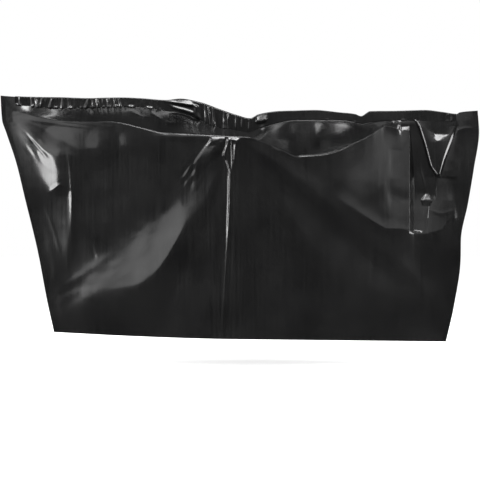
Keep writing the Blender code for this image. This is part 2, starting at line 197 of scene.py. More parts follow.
@dataclass(frozen=True)
class Fold:
    """A ridge, or a trough where its heights are negative, along a route of squares.

    Attributes:
        name: what the fold is.
        route: places in squares of the elevation drawing, across and down.
        heights: millimetres at each place of the route.
        near: millimetres that it spreads towards the front end, or upwards on a level fold:
            one value, or one for each place.
        far: millimetres that it spreads the other way.
        profile: its shape across.
    """

    name: str
    route: tuple
    heights: tuple
    near: float | tuple
    far: float | tuple
    profile: Profile = Profile.CREASE

    def height(self, x: np.ndarray, z: np.ndarray) -> np.ndarray:
        """Height of the fold at x and z: its profile of the distance to the nearest run."""
        px, pz, levels, nears, fars = self.dense()
        total = np.zeros_like(x)
        reach = max(nears.max(), fars.max()) * MM
        inside = ((x > px.min() - reach) & (x < px.max() + reach)
                  & (z > pz.min() - reach) & (z < pz.max() + reach))
        if not inside.any():
            return total
        qx, qz = x[inside], z[inside]
        best = np.full(qx.shape, FAR_OFF)
        found = np.zeros((4,) + qx.shape)
        chord = np.array((px[-1] - px[0], pz[-1] - pz[0]))
        turn = 1.0 if chord @ FACING < 0.0 else -1.0
        for k in range(len(px) - 1):
            ux, uz = px[k + 1] - px[k], pz[k + 1] - pz[k]
            run = ux * ux + uz * uz
            part = np.clip(((qx - px[k]) * ux + (qz - pz[k]) * uz) / run, 0.0, 1.0)
            gap = np.hypot(qx - px[k] - part * ux, qz - pz[k] - part * uz)
            nearer = gap < best
            best = np.where(nearer, gap, best)
            here = [row[k] + (row[k + 1] - row[k]) * part for row in (levels, nears, fars)]
            here.append((ux * (qz - pz[k]) - uz * (qx - px[k])) / math.sqrt(run))
            found = np.where(nearer, here, found)
        level, near, far, side = found
        lean = np.clip(side / np.maximum(best, TINY * MM) * turn, -1.0, 1.0)
        width = (near + (far - near) * (0.5 + 0.5 * lean)) * MM
        u = best / width
        soft = self.profile.value[1] * MM / width
        u = np.clip(np.sqrt(u * u + soft * soft) - soft, 0.0, 1.0)
        total[inside] = level * self.profile.shape(u) * MM
        return total

    def dense(self) -> tuple:
        """The route through Catmull-Rom spans, with the heights and widths eased along it."""
        points = np.array(self.route, dtype=float)
        xs, zs = metres(points[:, 0], points[:, 1])
        rows = np.stack([xs, zs] + [np.broadcast_to(np.asarray(values, dtype=float), xs.shape)
                                    for values in (self.heights, self.near, self.far)], axis=1)
        if len(rows) == 2:
            return tuple(rows.T)
        padded = np.vstack((2 * rows[0] - rows[1], rows, 2 * rows[-1] - rows[-2]))
        spans = []
        t = np.linspace(0.0, 1.0, SPAN_STEPS, endpoint=False)[:, None]
        for a, b, c, d in zip(padded, padded[1:], padded[2:], padded[3:]):
            spans.append(0.5 * (2 * b + (c - a) * t + (2 * a - 5 * b + 4 * c - d) * t ** 2
                                + (3 * b - a - 3 * c + d) * t ** 3))
        spans.append(rows[-1:])
        return tuple(np.concatenate(spans).T)


@dataclass(frozen=True)
class Flank:
    """A broad flat flank of film: it rises from one bound to the other, and falls away past it.

    Attributes:
        name: where it is.
        rows: places along it, each with the two bounds there, the height in millimetres, and
            how far past the second bound it takes to fall away; all but the height in squares.
        upright: True where the bounds are places across at each level down, False where they
            are levels at each place across.
        rounding: radii in squares of the fold at the first bound and at the second.
    """

    name: str
    rows: tuple
    upright: bool = False
    rounding: tuple = (8.0, 3.0)

    def height(self, x: np.ndarray, z: np.ndarray) -> np.ndarray:
        """Height in metres: the difference of two rounded ramps, eased down past the second."""
        across, down = squares(x, z)
        along, over = (down, across) if self.upright else (across, down)
        rows = np.array(self.rows, dtype=float)
        total = np.zeros_like(x)
        inside = (along > rows[0, 0]) & (along < rows[-1, 0])
        along, over = along[inside], over[inside]
        start, stop, level, fall = (eased(along, rows[:, 0], rows[:, k]) for k in (1, 2, 3, 4))
        way = 1.0 if np.sign(rows[:, 2] - rows[:, 1]).sum() > 0 else -1.0
        first, second = (over - start) * way, (over - stop) * way
        width = np.maximum(first - second, TINY)
        early, late = self.rounding
        early, late = np.minimum(early, width * 0.5), np.minimum(late, width * 0.5)
        rise = (first + np.hypot(first, early) - second - np.hypot(second, late)) / (2.0 * width)
        rest = 1.0 - smooth(second / fall)
        total[inside] = level * MM * rise * rest
        return total


@dataclass(frozen=True)
class Pleats:
    """Film in flat facets between crease lines that run down it.

    Attributes:
        name: where it is.
        lines: the crease lines from front to rear, each a tuple of its corners from the top
            down: level and place in squares, and depth in millimetres, which is left out where
            the corner lies on the hanging film.
        over: True where the depths count from the hanging film.
    """

    name: str
    lines: tuple
    over: bool = False

    @staticmethod
    def corners(line: tuple) -> np.ndarray:
        """Levels, places, depths in metres, and 1 or 0 where a depth is given or left out."""
        given = np.array([len(corner) == 3 for corner in line])
        levels, places = (np.array([corner[k] for corner in line], dtype=float) for k in (0, 1))
        depths = np.array([corner[-1] * MM for corner in line])
        hung = base_depth(*metres(places, levels))
        return np.stack((levels, places, np.where(given, depths, hung), given.astype(float)))

    def relief(self, x: np.ndarray, z: np.ndarray, base: np.ndarray) -> np.ndarray:
        """Height in metres over the hanging film's depth.

        Between two lines it is straight at each level, and where both have as many corners it
        is straight between their matching corners too.

        Args:
            x: places across.
            z: their heights.
            base: the hanging film's depth there.

        Returns:
            What the facets add to that depth.
        """
        across, down = squares(x, z)
        total = np.zeros_like(x)
        base = np.zeros_like(x) if self.over else base
        lines = [self.corners(line) for line in self.lines]
        for left, right in zip(lines, lines[1:]):
            near, far = ([np.interp(down, line[0], row) for row in line[1:]]
                         for line in (left, right))
            share = (across - near[0]) / np.maximum(far[0] - near[0], TINY)
            depth, weight = (near[k] + (far[k] - near[k]) * share for k in (1, 2))
            if left.shape == right.shape:
                mixed = left[..., None, None] + (right - left)[..., None, None] * share
                for k in range(left.shape[1] - 1):
                    upper, lower = mixed[:, k], mixed[:, k + 1]
                    way = (down - upper[0]) / np.maximum(lower[0] - upper[0], TINY)
                    within = (way >= 0.0) & (way < 1.0)
                    depth = np.where(within, upper[2] + (lower[2] - upper[2]) * way, depth)
                    weight = np.where(within, upper[3] + (lower[3] - upper[3]) * way, weight)
            total = np.where((share >= 0.0) & (share < 1.0), weight * (depth - base), total)
        return total


FACET_WAVES = 5          # triangle waves that make up a crumpled patch
FACET_PITCHES = (0.8, 1.9)       # least and greatest pitch of one, as a share of the patch's pitch
# How far and how often the crests of a wave bend, and how far its phase shifts the bends.
FACET_BEND = (0.35, 1.7, 6.0)
RIM_FADE = 1.25          # a patch keeps its full height out to 1 - 1 / RIM_FADE of its radii
RIPPLE_WAVES = 9         # plane waves that make up a ripple
RIPPLE_PITCHES = (0.6, 1.8)      # least and greatest length of one, as a share of its pitch


@dataclass(frozen=True)
class Crumple:
    """A patch of small flat facets, as where film has been crushed.

    Attributes:
        name: where the patch is.
        centre: its middle, in squares.
        radii: its reach across and down, in squares.
        pitch: the size of a facet, in squares.
        height: millimetres from a facet's valley to its crest.
        grain: angle in degrees of the direction in which the facets are drawn out.
        stretch: how much longer than wide they are.
        seed: which facets.
    """

    name: str
    centre: tuple
    radii: tuple
    pitch: float
    height: float
    grain: float = 0.0
    stretch: float = 1.0
    seed: int = 0

    def relief(self, x: np.ndarray, z: np.ndarray) -> np.ndarray:
        """Sum of triangle waves in several directions, faded out at the patch's rim."""
        across, down = squares(x, z)
        sx, sz = across - self.centre[0], down - self.centre[1]
        fade = smooth(RIM_FADE * (1.0 - np.hypot(sx / self.radii[0], sz / self.radii[1])))
        turn = math.radians(self.grain)
        along = (sx * math.cos(turn) + sz * math.sin(turn)) / self.stretch
        across = sz * math.cos(turn) - sx * math.sin(turn)
        random = np.random.default_rng(self.seed)
        total = np.zeros_like(x)
        sway, often, shift = FACET_BEND
        for _ in range(FACET_WAVES):
            angle, phase = random.uniform(0.0, math.pi), random.uniform(0.0, 1.0)
            pitch = self.pitch * random.uniform(*FACET_PITCHES)
            bend = sway * np.sin((along * math.sin(angle) - across * math.cos(angle))
                                 / pitch * often + shift * phase)
            run = (along * math.cos(angle) + across * math.sin(angle)) / pitch + phase + bend
            total += np.abs((run % 1.0) - 0.5) * 2.0 - 0.5
        return total * fade * self.height * MM / math.sqrt(FACET_WAVES)


def ripple(x: np.ndarray, z: np.ndarray, pitch: float, slope: float, seed: int) -> np.ndarray:
    """Gentle unevenness: plane waves of random direction, each with the given steepness."""
    random = np.random.default_rng(seed)
    total = np.zeros_like(x)
    for _ in range(RIPPLE_WAVES):
        angle, phase = random.uniform(0.0, math.pi), random.uniform(0.0, 2.0 * math.pi)
        length = pitch * random.uniform(*RIPPLE_PITCHES)
        number = 2.0 * math.pi / length
        total += np.sin(number * (x * math.cos(angle) + z * math.sin(angle)) + phase) / number
    return total * slope / math.sqrt(RIPPLE_WAVES)


SHARP = (0.6, 0.6)       # rounding of a flank with sharp bounds
FRONT_FOLDS = (
    # Under the handlebar's end.
    Fold("centre crease", ((231.5, 168), (230.3, 176), (229.8, 200), (228.8, 222), (227.6, 245),
        (224.4, 300), (221, 341)), (1, 6, 6.5, 6, 3.6, 3.2, 3), 17, 14),
    Fold("second line", ((234, 176), (234, 240), (231, 300), (228, 341)), (0.5, 1.5, 1.5, 1.5), 10, 16),
    # The front half's long diagonal fold.
    Flank("long band", ((44, 270, 313, 0, 40), (60, 266, 309, 5, 44), (75, 261, 303, 12, 50),
        (90, 257, 295, 21, 56), (105, 251, 290, 30, 62), (118, 244, 289, 38, 64),
        (130, 237, 287, 45, 66), (150, 222, 278, 54, 66), (166, 212, 259, 50, 60),
        (180, 202, 235, 40, 52), (192, 191, 217, 27, 44), (205, 178, 200, 15, 34),
        (215, 166, 179, 7, 24), (224, 157, 162, 0, 14)), False, (16.0, 3.0)),
    Flank("eave's crest", ((152, 131.5, 133, 0, 5), (166, 133.9, 135.9, 4.6, 6),
        (200, 134.6, 136.6, 5.2, 8), (219, 135.5, 137, 3.8, 12), (236, 136.5, 137.9, 3.6, 12),
        (246, 137.2, 138.5, 0, 8)), rounding=SHARP),
    Fold("ridge in the band", ((52, 295), (75, 280), (92, 268), (112, 254)), (1, 2.2, 2, 0.5), 34, 26),
    Fold("end ridge", ((56, 268), (49, 288), (52, 296)), (0.5, 1.8, 1), 20, 14),
    Fold("low ridge", ((52, 307), (68, 296), (88, 290)), (0.5, 1.6, 0.5), 24, 26),
    Fold("low curve", ((80, 300), (98, 304), (118, 310)), (0, -1.5, 0), 12, 12),
    Fold("faint upright", ((123, 250), (123, 312)), (0.0, 0.2), 10, 10),
    Fold("nick", ((92, 249), (95, 256)), (-1, -2), 18, 10),
    # The front end.
    Flank("blade", ((118, 17, 20, 0, 14), (124, 17, 21, 3, 16), (131, 18, 27, 7, 22),
        (140, 22.5, 35, 10, 28), (148, 27, 42, 13, 34), (156, 31.5, 52, 18.5, 36),
        (165, 35, 56, 20.5, 36), (173, 38, 58, 20, 34), (181, 43, 58, 15.5, 30), (188, 48, 57, 8.5, 26),
        (196, 52, 56, 0, 20)), True, (4.0, 2.0)),
    Fold("blade's streak", ((23, 130), (34, 143), (46, 157)), (0, -3, -1), 14, 14),
    Fold("bridge", ((50, 191), (60, 185), (70, 188)), (1, 3, 1), 14, 18),
    Fold("packing crease", ((67, 146), (71, 172), (72, 215), (71, 262)), (0, 5, 5, 1), 20, 34),
    Fold("short line", ((46, 209), (53, 228), (60, 254)), (0.3, 1, 0.3), 14, 14),
    Flank("hazy swell", ((30, 196, 240, 0, 30), (52, 194, 242, 5, 30), (62, 192, 244, 9, 30),
        (68, 192, 246, 12, 26), (76, 192, 246, 0, 20))),
    Fold("corner line 1", ((20, 112), (50, 119), (112, 127)), (1, 2, 1), 16, 14),
    Fold("corner line 2", ((20, 118), (60, 124), (102, 129)), (1, 1.5, 0.5), 14, 14),
    Fold("facet under the lines", ((62, 150), (96, 149)), (11, 9), 110, 90, Profile.TENT),
    Fold("faint facet 1", ((104, 147), (122, 146)), (4, 3), 90, 60, Profile.TENT),
    Fold("faint facet 2", ((132, 146), (158, 148)), (5, 3), 70, 60, Profile.TENT),
    # The roof in front of the handlebar.
    Fold("roof line", ((179, 112), (206, 123), (228, 131), (250, 137)), (4, 7, 7, 3), 22, 18),
    Fold("roof line, rear", ((250, 137), (262, 133), (281, 127)), (3, 5, 1), 14, 16),
    Fold("roof crease 1", ((85, 112), (91, 115), (96, 117)), (0.5, 1.5, 0.5), 12, 12),
    Fold("roof crease 2", ((130, 110), (136, 114), (142, 117), (151, 117)), (3, 5, 6, 1), 16, 12),
    Fold("roof crease 3", ((151, 111), (157, 117), (167, 123)), (3, 6, 3), 16, 16),
    Fold("roof crease 4", ((166, 123), (176, 122.5), (187, 121)), (4, 5, 2), 14, 14),
    # Long bands behind the handlebar.
    Flank("upper band", ((244, 138, 141, 0, 6), (270, 146, 158, 7, 16), (290, 156, 172, 10, 20),
        (320, 176, 196, 13, 24), (340, 190, 212, 14, 26), (370, 215, 237, 14, 26),
        (400, 243, 262, 11, 22), (434, 286, 294, 0, 12)), False, (10.0, 4.0)),
    Flank("lower band", ((266, 180, 184, 0, 10), (285, 194, 207, 5, 24), (300, 206, 230, 9, 36),
        (320, 220, 258, 15, 44), (340, 236, 275, 17, 44), (357, 247, 285, 18, 40),
        (380, 260, 289, 16, 36), (400, 269, 293, 14, 34), (430, 283, 301, 9, 30),
        (456, 298, 305, 0, 24)), False, (6.0, 3.0)),
    # The pocket that sags behind the handlebar.
    Flank("pocket facet 1", ((272, 124, 139, 0, 10), (277, 122, 139, -13, 12), (287, 122, 138, -20, 13),
        (294, 122, 134, -15, 14), (298, 122, 130, 0, 14)), False, (1.0, 1.5)),
    Flank("pocket facet 2", ((312, 122, 137, 0, 12), (315, 121, 137, -17, 13), (319, 121, 131, -12, 14),
        (323, 121, 127, 0, 14)), False, (1.0, 1.5)),
    Flank("pocket facet 3", ((330, 122, 135, 0, 12), (335, 122, 134, -6, 14), (346, 122, 131, -5, 14),
        (354, 121, 127, 0, 12)), False, (1.0, 1.5)),
    Fold("pocket upright", ((299, 123), (299, 156)), (-2, -3), 14, 14),
    # The crumpled rear pocket.
    Fold("lower upright", ((425, 206), (425, 220), (425, 236)), (1, 2, 1), 10, 16),
    Fold("facet line", ((427, 209), (441, 213.5), (452, 211)), (0.4, 1.2, 0.8), 18, 16),
    Fold("rear crease", ((455, 133), (465, 128), (476, 129)), (1.2, 1.6, 0.5), 14, 14),
    Fold("rear streak", ((462, 188), (466, 206)), (2, 2), 12, 12),
    Fold("end fold", ((454, 205), (457, 222), (461, 240)), (0.7, 1.2, 0.5), 14, 14),
)

FRONT_PLEATS = (
    Pleats("under the handlebar's end", (
        ((135, 209, 0), (139.7, 210.2, 0), (148, 203.5, 0), (160, 195, 0), (170, 190, 0)),
        ((137, 210.3, 0), (141.6, 210.6, 10.6), (148, 204.9, 4), (160, 196.3, 3), (170, 191, 0)),
        ((137, 216, 0), (141, 215.6, 9.2), (143.5, 214, 9.2), (145.4, 214.5, 8), (147, 214.5, 12),
         (152, 213, 11), (158, 208, 7), (170, 200, 0)),
        ((137.2, 221, 0), (138.8, 221, 3.6), (140.5, 220.5, 5), (142, 220.5, 9), (150, 219.5, 9),
         (156, 216, 4), (165, 208, 0), (170, 205, 0)),
        ((137.2, 225, 0), (137.8, 225, 1), (139, 225, 4), (150, 221.3, 4), (153, 219.5, 1),
         (158, 216.5, 0), (170, 208, 0)),
        ((137.7, 226.4, 0), (145, 225.4, 0), (152, 222.4, 0), (155.5, 221.9, 0), (160, 224.9, 0),
         (168, 227.5, 0), (173, 229.5, 0)),
        ((137.7, 228.7, 0), (139.9, 228.5, 6.3), (145, 227.5, 6.3), (152, 225, 8), (155.5, 224.3, 7.5),
         (160, 226.9, 4.6), (168, 229.5, 4.6), (173, 231, 0)),
        ((137.7, 229.7, 0), (139.9, 229.4, 5.6), (145, 228.4, 3.4), (152, 226.4, 3.4),
         (155.5, 225.6, 3), (160, 227.9, 2), (168, 230.3, 2), (173, 231.3, 0)),
        ((137.7, 230.4, 0), (139.9, 230.3, 5.6), (145, 230.6, 3), (150, 230.8, 3), (160, 231, 2),
         (168, 231, 2), (173, 231.6, 0)),
        ((137.7, 231.8, 0), (139.9, 231.7, 6.8), (145, 232, 6.8), (150, 232.2, 6.8), (160, 232.4, 5.6),
         (168, 232.2, 4), (173, 231.9, 0)),
        ((137.7, 232.8, 0), (139.9, 232.7, 5.8), (145, 233.1, 3.6), (150, 233.2, 3.6),
         (160, 233.3, 3.4), (168, 232.6, 3), (173, 232.2, 0)),
        ((137.7, 238, 0), (141, 236.9, 8.5), (145, 235.9, 8), (150, 235, 7), (160, 234.1, 6),
         (168, 233, 4.5), (173, 232.5, 0)),
        ((137.7, 241.5, 0), (139, 241, 0), (145, 238, 0), (150, 236.8, 0), (160, 235.7, 0),
         (168, 234.3, 0), (173, 232.8, 0)),
    ), over=True),
    Pleats("rear pocket", (
        ((140, 322), (180, 322), (189, 322), (230, 322)),
        ((140, 335), (165, 335), (197, 335, 164), (230, 335)),
        ((140, 350), (165, 350), (206.5, 350, 150), (238, 350)),
        ((140, 366), (172, 366), (217, 366, 135), (252, 366)),
        ((140, 378), (178, 378), (224.5, 378, 127), (260, 378)),
        ((140, 386), (178, 386, 86), (229, 386, 121), (264, 386)),
        ((118, 393), (135, 393), (150, 392.5, 44), (162, 392, 56), (178, 392, 71), (200, 393, 81),
         (229, 394, 107), (264, 394)),
        ((118, 398), (135, 398), (150, 398, 36), (162, 396, 48), (178, 396.5, 61), (203, 397.5, 76),
         (220, 398, 91), (229, 399, 98), (265, 399)),
        ((118, 400.5), (126.5, 400.5, 7), (130.5, 401.5, 14), (142, 402.5, 26), (150, 403, 31),
         (162, 402, 40), (178, 402, 52), (200, 402, 66.5), (229, 402, 92), (265, 402)),
        ((118, 404.5), (126.2, 405, 7), (130.2, 405, 14), (142, 405, 24), (150, 405, 29),
         (162, 405, 36), (178, 405, 45), (200, 405.5, 60), (230, 406, 84), (265, 406)),
        ((118, 409.4), (126, 409.4, 7), (130, 409.4, 13), (135, 409.4, 16), (150, 409.4, 23),
         (165, 409.4, 31), (178, 409.4, 38), (200, 409.4, 52), (230, 409.4, 76), (264, 409.4)),
        ((118, 410), (127, 410.1, 5), (135, 411.2, 5), (150, 412.6, 5), (165, 413.6, 6),
         (178, 414, 7.5), (193, 414, 11.5), (200, 414, 16), (215, 414, 29), (230.5, 414, 42.5),
         (233.5, 414, 61), (262, 414)),
        ((118, 414.6), (127, 415.2, 5), (150, 416.8, 5), (171, 420.2, 6), (190, 424.8, 9),
         (193.3, 426.1, 9.2), (200.2, 421, 16), (206, 422.6, 21), (234, 424, 51), (268, 424)),
        ((118, 415.2), (127, 415.9, 6.5), (150, 417.5, 7), (171, 421.1, 9), (190, 425.7, 11),
         (193.3, 426.8, 10), (200.2, 421.8, 23.5), (206, 423.4, 24), (234, 424.6, 51), (268, 424.6)),
        ((118, 416), (127, 416.8, 5), (150, 418.4, 5), (171, 422, 6), (190, 426.8, 9),
         (193.3, 427.5, 10), (200.2, 431.5, 23.5), (206, 428.7, 24), (234, 426, 50), (268, 426)),
        ((118, 416.8), (127, 417.5, 5), (150, 419.2, 5), (171, 423.1, 6), (190, 427.8, 9),
         (193.4, 428.4, 9.2), (200.2, 432.3, 13), (206, 429.6, 18), (234, 426.8, 50), (268, 426.8)),
        ((118, 412.6), (120.5, 414.2, 5), (126, 417.1, 5), (143, 422.6, 5), (166, 429, 11),
         (173.5, 434, 14), (177, 437, 8), (195.5, 435, 10), (199.5, 434, 15), (232, 434, 43),
         (265, 434)),
        ((118, 413.7), (120.5, 416, 14), (126, 419.2, 20), (143, 424.7, 21.5), (166, 430.9, 28.5),
         (174, 436.4, 31), (177.3, 438, 8), (192, 436.2, 14), (202, 435.8, 20), (232, 436, 44),
         (264, 436)),
        ((118, 415), (120.5, 417.3, 8), (126, 420.7, 13), (143, 426.2, 14.5), (166, 432.2, 22),
         (173.6, 437.9, 24.5), (177.4, 438.6, 8), (200, 438.8, 24), (231, 438, 45), (264, 438)),
        ((118, 432), (121.5, 433, 6), (133.5, 434, 6.5), (141, 436.8, 20), (166, 437.3, 24),
         (173.6, 438.1, 24.8), (177.5, 439, 8), (200, 440, 24.5), (230, 441, 44), (262, 442)),
        ((118, 448), (121.5, 448, 6), (134, 446.5, 8.6), (141, 439.5, 20), (166, 439.2, 24),
         (173.5, 438.7, 24.6), (177.6, 440, 8), (200, 444, 24), (225, 446, 36), (258, 447)),
        ((118, 454), (126, 455, 6), (134, 451.6, 12.5), (150, 445.6, 21.5), (160, 442.6, 24),
         (170, 439.9, 24), (173.6, 438.9, 24.2), (177.7, 444, 8), (200, 448.5, 24), (221, 449, 32.5),
         (252, 451)),
        ((118, 455), (126, 456.3, 5.5), (134, 454.2, 4), (150, 448.2, 12), (160, 444.2, 17.5),
         (170, 441.1, 20), (174.5, 439.6, 22), (177.8, 449, 8), (200, 452, 20), (217, 453, 26),
         (242, 455)),
        ((118, 456), (126, 457, 4), (134, 455, 3), (150, 449.4, 5), (160, 445.4, 7), (170, 442.2, 8),
         (176.5, 440.6, 8), (178, 453, 8), (200, 453.8, 17), (217, 454.4, 23), (242, 455.5)),
        ((118, 460), (135, 459), (171, 456), (178, 458), (200, 461), (213, 462), (242, 463)),
    )),
)

FRONT_CRUMPLES = (
    Crumple("beside the tongue", (191, 174), (14, 24), 4.6, 3.4, grain=125.0, stretch=2.4, seed=3),
    Crumple("front corner", (13, 119), (12, 12), 6.0, 1.6, grain=30.0, stretch=1.4, seed=5),
    Crumple("front end", (34, 148), (14, 22), 7.0, 1.6, grain=55.0, stretch=2.2, seed=8),
    Crumple("in the long band", (104, 272), (42, 22), 9.0, 1.3, grain=150.0, stretch=2.0, seed=11),
    Crumple("middle of the long band", (150, 246), (42, 26), 14.0, 1.5, grain=140.0, stretch=2.6,
        seed=12),
    Crumple("rear pocket", (424, 165), (42, 62), 15.0, 1.2, grain=82.0, stretch=2.2, seed=21),
    Crumple("rear end", (460, 190), (12, 60), 9.0, 2.0, grain=85.0, stretch=2.0, seed=26),
)

BACK_FOLDS = (
    Fold("centre crease", ((226, 150), (227, 220), (231, 341)), (6, 14, 13), 22, 30),
    Fold("diagonal ridge", ((216, 160), (170, 240), (96, 296), (52, 312)), (2, 12, 12, 3), 130, 110,
        Profile.SOFT),
    Fold("diagonal trough", ((208, 156), (150, 214), (66, 258)), (-2, -8, -4), 100, 50, Profile.SOFT),
    Fold("long ridge", ((244, 150), (320, 200), (400, 262), (450, 300)), (2, 12, 14, 3), 90, 90,
        Profile.SOFT),
    Fold("lower ridge", ((262, 190), (320, 262), (440, 318)), (2, 10, 3), 90, 90, Profile.SOFT),
    Fold("packing crease", ((88, 140), (89, 200), (90, 268)), (1, 7, 2), 26, 30),
    Fold("packing crease, rear", ((352, 160), (351, 240), (350, 330)), (1, 5, 2), 22, 22),
    Fold("front end fold", ((24, 126), (48, 158), (62, 196)), (5, 16, 4), 110, 90),
    Fold("rear hang 1", ((372, 118), (378, 160), (390, 212)), (6, 14, 3), 30, 34),
    Fold("rear hang 2", ((420, 116), (424, 160), (418, 222)), (7, 15, 3), 34, 30),
    Fold("rear hollow", ((398, 120), (404, 196)), (-8, -8), 50, 50, Profile.SOFT),
    Fold("rear swag", ((404, 116), (426, 178), (462, 118)), (6, 18, 6), 30, 26),
    Fold("pocket's lower edge", ((384, 222), (420, 240), (452, 214)), (4, 15, 5), 100, 26),
    Fold("roof line", ((180, 112), (230, 132), (250, 137)), (4, 7, 3), 20, 18),
)

BACK_CRUMPLES = (
    Crumple("rear pocket", (418, 165), (44, 60), 15.0, 7.0, grain=84.0, stretch=2.0, seed=41),
    Crumple("under the handlebar", (226, 168), (26, 26), 8.0, 4.0, grain=80.0, stretch=2.0, seed=43),
    Crumple("long band", (130, 262), (60, 30), 11.0, 2.6, grain=145.0, stretch=2.2, seed=45),
    Crumple("front end", (36, 150), (18, 30), 8.0, 2.6, grain=55.0, stretch=2.0, seed=47),
)


def base_depth(x: np.ndarray, z: np.ndarray) -> np.ndarray:
    """Depth without folds: flat under the band, sloping to the eave, and hanging as a fan."""
    top, band, eave = section(1, x), section(2, x), section(3, x)
    peak = section(4, x)
    under_band = BAND_DEPTH * np.clip((top - z) / (top - band), 0.0, 1.0)
    slope = BAND_DEPTH + (peak - BAND_DEPTH) * np.clip((band - z) / (band - eave), 0.0, 1.0)
    share = smooth((eave - z) / SETTLING)
    hanging = hung_depth(x, z) + (peak - hung_depth(x, eave)) * (1.0 - share)
    return np.where(z > band, under_band, np.where(z > eave, slope, hanging))


def rise(inward: np.ndarray, gentle: float, steep: float, run: float) -> np.ndarray:
    """Highest film at a distance in from a weld: its slope eases from gentle to steep.

    height = steep w - (steep - gentle) run (1 - e^(-w / run)) at the distance w.
    """
    return steep * inward - (steep - gentle) * run * (1.0 - np.exp(-inward / run))


def panel_depth(x: np.ndarray, z: np.ndarray, folds: tuple, crumples: tuple, seed: int,
                pleats: tuple = ()) -> np.ndarray:
    """Depth of a panel with its folds, held flat at both end welds.

    Args:
        x: places across.
        z: their heights.
        folds: its folds and flanks.
        crumples: its crumpled patches.
        seed: which ripples it has.
        pleats: its pleated patches.

    Returns:
        The depth in metres at each place.
    """
    depth = base_depth(x, z)
    relief = np.zeros_like(x)
    for fold in folds:
        relief += fold.height(x, z)
    for crumple in crumples:
        relief += crumple.relief(x, z)
    relief += sum(ripple(x, z, *wave, seed + k) for k, wave in enumerate(RIPPLES))
    below_band = smooth((section(2, x) + FOLD_START - z) / FOLD_RAMP)
    from_front = np.maximum(x - end(FRONT_END, z) - WELD, 0.0)
    from_rear = np.maximum(end(REAR_END, z) - x - WELD, 0.0)
    highest = np.minimum(rise(from_front, *FRONT_RISE), rise(from_rear, *REAR_RISE))
    lower = (depth + highest - np.hypot(depth - highest, END_BLEND)) / 2.0
    folded = relief * below_band * smooth(np.minimum(from_front, from_rear) / END_FADE)
    for pleat in pleats:
        folded += pleat.relief(x, z, depth)
    return LYING + np.maximum(lower + folded, 0.0)


def drawn_in(x: np.ndarray, z: np.ndarray, depth: np.ndarray, side: int) -> np.ndarray:
    """True points of elevation places that stand out by depth, to -Y where the side is -1."""
    scale = 1.0 - depth / SIGHT
    return np.stack((x * scale, side * depth, CENTRE_Z + (z - CENTRE_Z) * scale), axis=-1)


def narrowed(x: np.ndarray, z: np.ndarray) -> np.ndarray:
    """A column place moved in near the ends by as much as the ends taper at z."""
    low, high = FRONT_END[0, 1], REAR_END[0, 1]
    near_front = np.clip(1.0 - (x - low) / FRONT_TAPER, 0.0, 1.0) ** 2
    near_rear = np.clip(1.0 - (high - x) / REAR_TAPER, 0.0, 1.0) ** 2
    return x + (end(FRONT_END, z) - low) * near_front + (end(REAR_END, z) - high) * near_rear


def linked(name: str, data: bpy.types.ID) -> bpy.types.Object:
    """A new object with the given data, linked to the scene."""
    piece = bpy.data.objects.new(name, data)
    bpy.context.scene.collection.objects.link(piece)
    return piece


def grid_mesh(name: str, points: np.ndarray, outward: int) -> bpy.types.Object:
    """A smooth mesh object from a grid of points, (columns, rows, 3).

    Args:
        name: the object's name.
        points: the grid.
        outward: +1 keeps the winding, -1 turns it over.

    Returns:
        The object, linked to the scene.
    """
    columns, rows = points.shape[:2]
    index = np.arange(columns * rows).reshape(columns, rows)
    a, b = index[:-1, :-1], index[1:, :-1]
    c, d = index[1:, 1:], index[:-1, 1:]
    quads = np.stack((a, b, c, d) if outward > 0 else (a, d, c, b), axis=-1).reshape(-1, 4)
    mesh = bpy.data.meshes.new(name)
    mesh.vertices.add(columns * rows)
    mesh.vertices.foreach_set("co", points.astype(np.float32).ravel())
    mesh.loops.add(quads.size)
    mesh.loops.foreach_set("vertex_index", quads.astype(np.int32).ravel())
    mesh.polygons.add(len(quads))
    mesh.polygons.foreach_set("loop_start", np.arange(0, quads.size, 4, dtype=np.int32))
    mesh.update(calc_edges=True)
    mesh.validate()
    mesh.shade_smooth()
    log.info("%s: %d faces", name, len(mesh.polygons))
    return linked(name, mesh)


